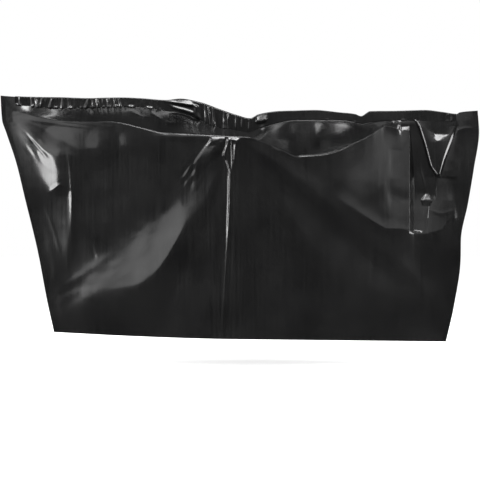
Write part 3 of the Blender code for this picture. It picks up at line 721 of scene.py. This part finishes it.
@dataclass
class FilmPanel:
    """One of the cover's two film panels.

    Attributes:
        name: the object's name.
        side: -1 for the front, +1 for the back.
        folds: its folds.
        crumples: its crumpled patches.
        pleats: its pleated patches.
        columns: how many columns the grid has.
        rows: rows under the band, down the roof, and below the eave.
        scale: how far it stands out, as a share of the front panel's depth.
        seed: which ripples it has.
    """

    name: str
    side: int
    folds: tuple
    crumples: tuple
    pleats: tuple = ()
    columns: int = 440
    rows: tuple = (7, 27, 182)
    scale: float = 1.0
    seed: int = 1

    def elevation(self) -> tuple:
        """Elevation places of the grid, from the top edge to the hem.

        A place and its height depend on each other near the tapering ends, so both are worked
        out again until they have settled.
        """
        under, roof, hang = self.rows
        down = np.concatenate((np.linspace(0.0, 1.0, under, endpoint=False),
                               np.linspace(1.0, 2.0, roof, endpoint=False),
                               2.0 + np.interp(np.linspace(0.0, 1.0, hang), *ROW_PLACES.T)))
        places = np.interp(np.linspace(0.0, 1.0, self.columns), *COLUMN_PLACES.T)
        straight, level = np.meshgrid(places, down, indexing="ij")
        x = straight
        for _ in range(SETTLING_ROUNDS):
            top, band, eave = section(1, x) - TOP_SINK, section(2, x), section(3, x)
            hem = eased(x, HEM[:, 0], HEM[:, 1])
            z = np.where(level < 1.0, top + (band - top) * level,
                         np.where(level < 2.0, band + (eave - band) * (level - 1.0),
                                  eave + (hem - eave) * (level - 2.0)))
            x = narrowed(straight, z)
        return x, z

    def build(self) -> bpy.types.Object:
        """The panel's mesh: its depth over the elevation, drawn in as it stands out."""
        x, z = self.elevation()
        depth = panel_depth(x, z, self.folds, self.crumples, self.seed, self.pleats)
        depth = LYING + (depth - LYING) * self.scale
        return grid_mesh(self.name, drawn_in(x, z, depth, self.side), self.side)


# Gathers: x and the lean over the band's height in squares, height and half width in mm.
FLUTES = np.array((
    (20, 0.5, 5.5, 8), (26, -1, 1.6, 8), (32, 1, 5.5, 8), (36.5, 2.5, 7, 9), (41.5, -2, 6, 8),
    (46, 1, 2, 8), (51.5, -3, 7.5, 11), (57, 1, 2.5, 8), (62.5, -1, 6.5, 9), (69, 1, 4, 8),
    (75, -1, 2, 8), (81, 1.5, 2.4, 8), (87.5, -3, 7.5, 12), (93, 1, 5, 7), (97.5, 2, 7.5, 9),
    (103, 0.5, 3.5, 7), (108.5, 1.5, 8, 11), (115, 1, 7, 8), (119.5, 2, 6.5, 7), (126, -1, 2, 9),
    (134, 1, 1.8, 9), (142, -1, 2, 9), (150, 1, 2, 9), (158, -1, 3, 8), (205.5, 1.5, 5.5, 7),
    (209.5, 2.5, 6.5, 7), (213.5, 2, 6.5, 7), (219, 0.5, 2.2, 7), (224, 0.5, 5, 6), (228, 0, 5.5, 6),
    (236, 0, 4.5, 6), (242, 0, 4, 6), (249, 0, 3.5, 6), (300, 1, 1, 9), (326, -1, 0.9, 9),
    (350, 1, 1.4, 8), (375, -1, 1.2, 9), (402, 1, 1.4, 8), (424, -1, 1.6, 8), (447.5, -0.5, 5, 7),
    (452, -1.5, 4.5, 7),
))
BAND_FOLDS = (
    Flank("sliver", ((163, 99.7, 100.4, 0, 3), (168, 99.4, 101.2, 3, 3), (183, 98.6, 103.4, 11, 3),
        (191, 101, 104.8, 7, 3), (195, 102.5, 105, 0, 3)), rounding=SHARP),
    Flank("curl", ((167, 101.5, 103, 0, 3), (174, 105, 107.2, 4, 3), (184, 107.5, 110, 5, 3),
        (192, 110, 112.6, 5, 3), (196, 112, 113.5, 0, 3)), rounding=SHARP),
    Flank("curl's end", ((104, 193, 194, 0, 3), (107, 192.5, 196, 7, 4), (112, 193.5, 196, 6, 4),
        (116, 194, 197, 6, 4), (120, 197, 200, 0, 3)), True, SHARP),
    Flank("bright flat", ((255, 119, 120.5, 0, 3), (258, 115.5, 121, 9, 3), (265, 114, 120, 9, 3),
        (268, 115, 117, 0, 3)), rounding=SHARP),
    Fold("rear streak", ((463, 111), (459, 119), (455, 128)), (3, 5, 3), 9, 10),
)
# Puckered lips on the band's lower line: x in squares, half width and height in mm.
LIPS = np.array((
    (17.5, 16, 3.4), (33, 8, 1.8), (55.5, 14, 3.6), (70.5, 15, 3.6), (81, 8, 1.8), (92, 12, 3.2),
    (104, 8, 1.8), (116, 14, 3), (131, 20, 3.8), (149.5, 22, 4), (160, 8, 1.6), (224, 16, 2.6),
    (262, 16, 2), (327, 12, 1.4), (355, 8, 1.6), (403, 14, 1.8),
))


@dataclass
class GatheredBand:
    """The gathered band over the panels' top edges.

    Attributes:
        name: the object's name.
        low: x where it starts.
        high: x where it stops.
        columns: how many columns the grid has.
        leaf_rows: rows of each of its two leaves.
        clear: how far it stands off the panels.
        turn: the share of its height that rolls over the top line.
        lip_reach: the share of its height that a puckered lip takes.
        narrowing: a gather's width at the lower line, as a share of the width stated for it,
            and how much less it is at the top.
        beat: how much a gather's height wavers up the band, and how often.
        hollow: the power of a gather's hollow flanks.
        crowding: how much closer the rows lie at the top: 1 for evenly spaced.
        lift: how far above the band's lower line it starts.
        back_shift: how far the back's gathers are moved along from the front's.
        fade: the share of its height at which the relief has died out, and over how much.
    """

    name: str = "gathered_band"
    low: float = -0.968
    high: float = 0.930
    columns: int = 900
    leaf_rows: int = 26
    clear: float = 0.0024
    turn: float = 0.05
    lip_reach: float = 0.20
    narrowing: tuple = (1.15, 0.45)
    beat: tuple = (0.25, 5.0)
    hollow: float = 1.1
    crowding: float = 1.3
    lift: float = 0.0015
    back_shift: float = 0.037
    fade: tuple = (1.02, 0.10)

    def gathers(self, x: np.ndarray, share: np.ndarray) -> np.ndarray:
        """Uneven upright creases that lean a little, with hollow flanks, in metres."""
        total = np.zeros_like(x)
        (widest, slimmer), (waver, often) = self.narrowing, self.beat
        for place, lean, height, half in FLUTES:
            centre = (place + lean * (0.5 - share) - ORIGIN_SQUARE[0]) * SQUARE
            width = half * MM * (widest - slimmer * share)
            crest = np.clip(1.0 - np.abs(x - centre) / width, 0.0, 1.0) ** self.hollow
            level = 1.0 - waver + waver * np.cos(share * often + place)
            total = np.maximum(total, crest * height * MM * level)
        return total

    def lips(self, x: np.ndarray, share: np.ndarray) -> np.ndarray:
        """Puckers that stand out at the lower line and face upwards, in metres."""
        total = np.zeros_like(x)
        for place, half, height in LIPS:
            off = (x - (place - ORIGIN_SQUARE[0]) * SQUARE) / (half * MM)
            total += height * MM * smooth(1.0 - np.abs(off)) * smooth(1.0 - share / self.lip_reach)
        return total

    def build(self) -> bpy.types.Object:
        """The band's mesh: an upturned U along the top line, from lower edge to lower edge."""
        along = np.linspace(self.low, self.high, self.columns)
        leaf = 1.0 - (1.0 - np.linspace(0.0, 1.0, self.leaf_rows)) ** self.crowding
        x, share = np.meshgrid(along, leaf, indexing="ij")
        top, low = section(1, x), section(2, x) + self.lift
        z = low + (top - low) * share
        rolled = np.clip((share - 1.0 + self.turn) / self.turn, 0.0, 1.0)
        closing = np.sqrt(1.0 - rolled ** 2)
        sides = []
        for side in (-1, 1):
            relief = self.gathers(x if side < 0 else x + self.back_shift, share)
            relief = relief + self.lips(x, share)
            for fold in BAND_FOLDS if side < 0 else ():
                relief = relief + fold.height(x, z)
            relief = relief * smooth((self.fade[0] - share) / self.fade[1])
            depth = (BAND_DEPTH + self.clear + relief) * closing
            sides.append(drawn_in(x, z, depth, side))
        return grid_mesh(self.name, np.concatenate((sides[0], sides[1][:, -2::-1]), axis=1), 1)


def connect(node: bpy.types.Node, sockets: dict) -> None:
    """Give a node's inputs, by name or number, their values or the outputs that lead to them."""
    for key, value in sockets.items():
        if isinstance(value, bpy.types.NodeSocket):
            node.id_data.links.new(value, node.inputs[key])
        else:
            node.inputs[key].default_value = value


def add_node(tree: bpy.types.NodeTree, kind: str, sockets: dict | None = None,
             **settings: object) -> bpy.types.Node:
    """A new shader node.

    Args:
        tree: the tree it joins.
        kind: its type, without "ShaderNode".
        sockets: what its inputs get, as for connect.
        settings: its other properties.

    Returns:
        The node.
    """
    node = tree.nodes.new("ShaderNode" + kind)
    for name, setting in settings.items():
        setattr(node, name, setting)
    connect(node, sockets or {})
    return node


def surface_group() -> bpy.types.ShaderNodeTree:
    """The film's surface: extruded streaks, cloudy haze and fine crinkles.

    Returns:
        A node group. Its inputs are a Vector and three scales per metre, and its outputs are
        Haze, from 0 for clear to 1 for dull, and Height, for a bump.
    """
    tree = bpy.data.node_groups.new("film_surface", "ShaderNodeTree")
    tree.interface.new_socket("Vector", in_out="INPUT", socket_type="NodeSocketVector")
    for name, value in (("Streaks", 330.0), ("Clouds", 5.0), ("Crinkles", 70.0)):
        socket = tree.interface.new_socket(name, in_out="INPUT", socket_type="NodeSocketFloat")
        socket.default_value = value
    for name in ("Haze", "Height"):
        tree.interface.new_socket(name, in_out="OUTPUT", socket_type="NodeSocketFloat")
    given = tree.nodes.new("NodeGroupInput").outputs
    squeeze = add_node(tree, "Mapping", {"Vector": given["Vector"], "Scale": (1.0, 0.02, 0.012)})
    streaks, clouds, crinkles = (
        add_node(tree, "TexNoise", {"Vector": place, "Scale": given[name], "Detail": detail,
                                    "Distortion": distortion}).outputs["Fac"]
        for place, name, detail, distortion in (
            (squeeze.outputs["Vector"], "Streaks", 3.0, 0.0),
            (given["Vector"], "Clouds", 4.0, 0.0),
            (given["Vector"], "Crinkles", 2.5, 0.6)))
    haze = add_node(tree, "Mix", {"Factor": 0.45, "A": clouds, "B": streaks})
    spread = add_node(tree, "MapRange", {"Value": haze.outputs["Result"], "From Min": 0.32,
                                         "From Max": 0.68})
    height = add_node(tree, "Math", {0: streaks, 1: 0.25, 2: crinkles}, operation="MULTIPLY_ADD")
    connect(tree.nodes.new("NodeGroupOutput"), {"Haze": spread.outputs["Result"],
                                                "Height": height.outputs["Value"]})
    return tree


@dataclass(frozen=True)
class FilmFinish:
    """Glossy black polyethylene film.

    Attributes:
        name: the material's name.
        colour: the film's own colour.
        dusty: its colour where haze lies on it.
        clear: roughness where it is clean.
        dull: roughness where it is hazy.
        crinkle: millimetres of the fine crinkles' bump.
        crinkles: crinkles per metre.
    """

    name: str
    colour: tuple = (0.0015, 0.0015, 0.0016, 1.0)
    dusty: tuple = (0.0075, 0.0075, 0.0075, 1.0)
    clear: float = 0.12
    dull: float = 0.24
    crinkle: float = 0.10
    crinkles: float = 60.0

    def material(self, surface: bpy.types.ShaderNodeTree) -> bpy.types.Material:
        """The material, with its haze, roughness and bump worked out by the surface group."""
        material = bpy.data.materials.new(self.name)
        material.use_nodes = True
        tree = material.node_tree
        place = add_node(tree, "TexCoord").outputs["Object"]
        group = add_node(tree, "Group", {"Vector": place, "Crinkles": self.crinkles},
                         node_tree=surface).outputs
        tint = add_node(tree, "Mix", {"Factor": group["Haze"], "A": self.colour,
                                      "B": self.dusty}, data_type="RGBA")
        rough = add_node(tree, "MapRange", {"Value": group["Haze"], "To Min": self.clear,
                                            "To Max": self.dull})
        bump = add_node(tree, "Bump", {"Distance": self.crinkle * MM, "Height": group["Height"]})
        connect(tree.nodes["Principled BSDF"],
                {"IOR": 1.5, "Base Color": tint.outputs["Result"],
                 "Roughness": rough.outputs["Result"], "Normal": bump.outputs["Normal"]})
        return material


@dataclass(frozen=True)
class SoftBox:
    """A rectangular studio light.

    Attributes:
        name: the light's name.
        place: its middle.
        target: where it faces.
        size: its width and height in metres.
        radiance: how bright its face is.
    """

    name: str
    place: tuple
    target: tuple
    size: tuple
    radiance: float

    def build(self) -> bpy.types.Object:
        """An area light whose power gives the face its radiance: power = pi x area x radiance."""
        data = bpy.data.lights.new(self.name, "AREA")
        data.shape = "RECTANGLE"
        data.size, data.size_y = self.size
        data.energy = math.pi * self.size[0] * self.size[1] * self.radiance
        light = linked(self.name, data)
        light.location = self.place
        aim = Vector(self.target) - Vector(self.place)
        light.rotation_euler = aim.to_track_quat("-Z", "Y").to_euler()
        light.visible_camera = False
        return light


@dataclass
class Studio:
    """Plain pale floor, white backdrop, soft lights and the camera.

    Attributes:
        camera_distance: how far the camera is from the elevation.
        view_width: how much of the elevation it takes in.
        boxes: the soft lights.
        room: the room as glossy film sees it, from bottom to top: the height of the direction,
            -1 straight down and 1 straight up, and the radiance.
        behind: the room behind the cover, as a share of the room in front.
        dimming: y of the direction where the room in front ends, and where the one behind starts.
        floor_size: the floor's width and depth.
    """

    camera_distance: float = 5.0
    view_width: float = 480 * SQUARE
    boxes: tuple = (
        SoftBox("left_box", (-2.9, -1.0, -0.55), (-0.5, 0.0, -0.55), (0.45, 0.8), 16.0),
        SoftBox("left_fill", (-2.94, -1.15, 0.6), (-0.5, 0.0, 0.6), (2.1, 1.5), 1.9),
        SoftBox("low_left_fill", (-2.94, -1.63, -0.335), (-0.5, 0.0, -0.335), (0.56, 0.37), 1.9),
        SoftBox("band_box", (-2.6, -0.45, 0.34), (-0.5, -0.1, 0.15), (0.5, 0.45), 22.0),
        SoftBox("right_box", (3.1, -0.15, 0.1), (0.5, 0.0, -0.2), (0.8, 1.7), 12.0),
        SoftBox("corner_box", (2.78, -0.21, 1.67), (0.8, 0.0, 0.0), (0.6, 0.7), 12.0),
        SoftBox("right_fill", (2.94, -1.6, 0.95), (0.5, 0.0, -0.4), (1.9, 1.1), 0.3),
        SoftBox("top_box", (0.0, -1.7, 2.2), (0.0, 0.0, 0.0), (3.4, 0.7), 20.0),
        SoftBox("back_left_box", (-2.8, 1.7, 1.2), (0.0, 0.0, -0.3), (0.9, 1.2), 10.0),
        SoftBox("back_right_box", (2.8, 1.7, 1.2), (0.0, 0.0, -0.3), (0.9, 1.2), 10.0),
        SoftBox("overhead_box", (0.0, -0.08, 3.0), (0.0, -0.08, 0.0), (3.4, 0.16), 14.0),
        SoftBox("ceiling", (0.0, -0.6, 3.05), (0.0, -0.6, 0.0), (3.6, 0.5), 0.62),
    )
    room: tuple = ((-1.0, 0.06), (0.0, 0.13), (0.10, 0.17), (0.20, 0.28), (0.32, 0.54), (0.48, 0.88),
                   (0.62, 0.88), (0.78, 0.28), (1.0, 0.15))
    behind: float = 0.15
    dimming: tuple = (-0.25, 0.35)
    floor_size: float = 60.0

    def build(self) -> None:
        """Make the whole studio."""
        for box in self.boxes:
            box.build()
        self.make_world()
        self.make_floor()
        self.make_camera()
        bpy.context.scene.view_settings.view_transform = "Standard"

    def make_world(self) -> None:
        """White to the camera, and the room's soft gradient to everything else."""
        world = bpy.data.worlds.new("studio")
        bpy.context.scene.world = world
        world.use_nodes = True
        tree = world.node_tree
        tree.nodes.clear()
        place = add_node(tree, "TexCoord").outputs["Generated"]
        way = add_node(tree, "SeparateXYZ", {"Vector": place}).outputs
        upward = add_node(tree, "MapRange", {"Value": way["Z"], "From Min": -1.0})
        ramp = add_node(tree, "ValToRGB", {"Fac": upward.outputs["Result"]})
        ramp.color_ramp.interpolation = "EASE"
        points = ramp.color_ramp.elements
        brightest = max(level for _, level in self.room)
        while len(points) < len(self.room):
            points.new(0.5)
        for point, (height, level) in zip(points, self.room):
            point.position = 0.5 + 0.5 * height
            point.color = (level / brightest,) * 3 + (1.0,)
        first, last = self.dimming
        fading = add_node(tree, "MapRange", {"Value": way["Y"], "From Min": first,
                                             "From Max": last, "To Min": brightest,
                                             "To Max": brightest * self.behind},
                          interpolation_type="SMOOTHSTEP")
        room = add_node(tree, "Background", {"Color": ramp.outputs["Color"],
                                             "Strength": fading.outputs["Result"]})
        white = add_node(tree, "Background", {"Color": WHITE})
        seen = add_node(tree, "LightPath").outputs["Is Camera Ray"]
        mix = add_node(tree, "MixShader", {"Fac": seen, 1: room.outputs["Background"],
                                           2: white.outputs["Background"]})
        add_node(tree, "OutputWorld", {"Surface": mix.outputs["Shader"]})

    def make_floor(self) -> None:
        """A pale floor that glossy film does not mirror."""
        bpy.ops.mesh.primitive_plane_add(size=self.floor_size, location=(0.0, 0.0, GROUND_Z))
        floor = bpy.context.object
        floor.name = "floor"
        material = bpy.data.materials.new("pale_floor")
        material.use_nodes = True
        connect(material.node_tree.nodes["Principled BSDF"],
                {"Base Color": (0.9, 0.9, 0.9, 1.0), "Roughness": 0.9, "Specular IOR Level": 0.0,
                 "Emission Color": WHITE, "Emission Strength": 0.8})
        floor.data.materials.append(material)
        floor.visible_glossy = False

    def make_camera(self) -> None:
        """A level camera in front of the cover's middle."""
        data = bpy.data.cameras.new("camera")
        data.lens = data.sensor_width * self.camera_distance / self.view_width
        camera = linked("camera", data)
        camera.location = (0.0, -self.camera_distance, CENTRE_Z)
        camera.rotation_euler = (math.pi / 2.0, 0.0, 0.0)
        bpy.context.scene.camera = camera


def main() -> None:
    """Build the cover and its studio."""
    logging.basicConfig(level=logging.INFO, format="%(name)s: %(message)s")
    surface = surface_group()
    film = FilmFinish("black_film").material(surface)
    gathered = FilmFinish("gathered_film", crinkle=0.3, crinkles=90.0).material(surface)

    front = FilmPanel("front_film", -1, FRONT_FOLDS, FRONT_CRUMPLES, FRONT_PLEATS, seed=1).build()
    back = FilmPanel("back_film", 1, BACK_FOLDS, BACK_CRUMPLES, columns=300, rows=(6, 18, 130),
                     scale=0.92, seed=31).build()
    band = GatheredBand().build()
    for piece, node, finish, slot in ((front, "front_panel", film, "film"),
                                      (back, "back_panel", film, "film"),
                                      (band, "top_band", gathered, "band_film")):
        piece.data.materials.append(finish)
        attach(piece, "root")
        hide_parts(node)
    Studio().build()


if __name__ == "__main__":
    main()
